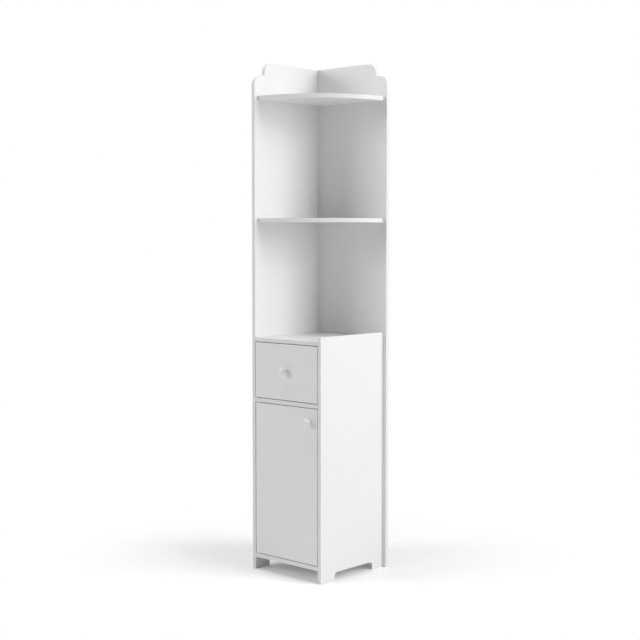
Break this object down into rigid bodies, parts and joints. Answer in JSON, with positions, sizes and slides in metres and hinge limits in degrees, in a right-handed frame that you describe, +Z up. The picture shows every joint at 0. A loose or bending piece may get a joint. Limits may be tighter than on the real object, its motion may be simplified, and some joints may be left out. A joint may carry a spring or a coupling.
{
  "type": "corner bathroom cabinet",
  "caption": "Tall white corner cabinet: quarter-round open shelves above a closed box with an inset drawer and a pin-hinged door, on panel feet.",
  "frame": {"origin": "room corner at floor level: the outer rear left edge of the left panel, at its foot", "axes": "+X to the right along the rear wall, +Y towards the rear wall, +Z up; the drawer and door face -Y"},
  "size_m": [0.3, 0.323, 1.57],
  "materials": {
    "white_board": "white satin lacquer on fibreboard",
    "knob": "white lacquer, semi-gloss",
    "hardboard": "white faced hardboard",
    "beech": "raw fluted beech",
    "runner_plastic": "white moulded plastic",
    "nylon": "natural nylon",
    "zinc_steel": "bright zinc plate",
    "magnet": "sintered ferrite"
  },
  "bodies": {
    "carcass": {"left_side_panel": "white_board", "rear_panel": "white_board", "right_side_panel": "white_board", "bottom_board": "white_board", "divider_board": "white_board", "cabinet_top": "white_board", "middle_shelf": "white_board", "upper_shelf": "white_board", "left_panel_screws": "zinc_steel", "rear_panel_screws": "zinc_steel", "cam_bolts": "zinc_steel", "cam_discs": "zinc_steel", "carcass_dowels": "beech", "left_runner": "runner_plastic", "right_runner": "runner_plastic", "runner_screws": "zinc_steel", "upper_pivot_bush": "nylon", "lower_pivot_bush": "nylon", "catch_housing": "runner_plastic", "catch_magnet": "magnet", "catch_pole_plates": "zinc_steel", "catch_screws": "zinc_steel"},
    "drawer": {"drawer_front": "white_board", "drawer_left_side": "white_board", "drawer_right_side": "white_board", "drawer_back": "white_board", "drawer_bottom": "hardboard", "drawer_dowels": "beech", "drawer_back_screws": "zinc_steel", "drawer_knob": "knob", "drawer_knob_bolt": "zinc_steel"},
    "door": {"door": "white_board", "door_knob": "knob", "door_knob_bolt": "zinc_steel", "upper_pivot_pin": "zinc_steel", "lower_pivot_pin": "zinc_steel", "strike_plate": "zinc_steel"}
  },
  "joints": [
    {"name": "drawer_slide", "type": "slide", "parent": "carcass", "child": "drawer", "axis": [0, -1, 0], "range_m": [0, 0.2]},
    {"name": "door_hinge", "type": "hinge", "parent": "carcass", "child": "door", "pos_m": [0.02105, -0.29365, 0.29], "axis": [0, 0, -1], "range_deg": [0, 100]}
  ]
}
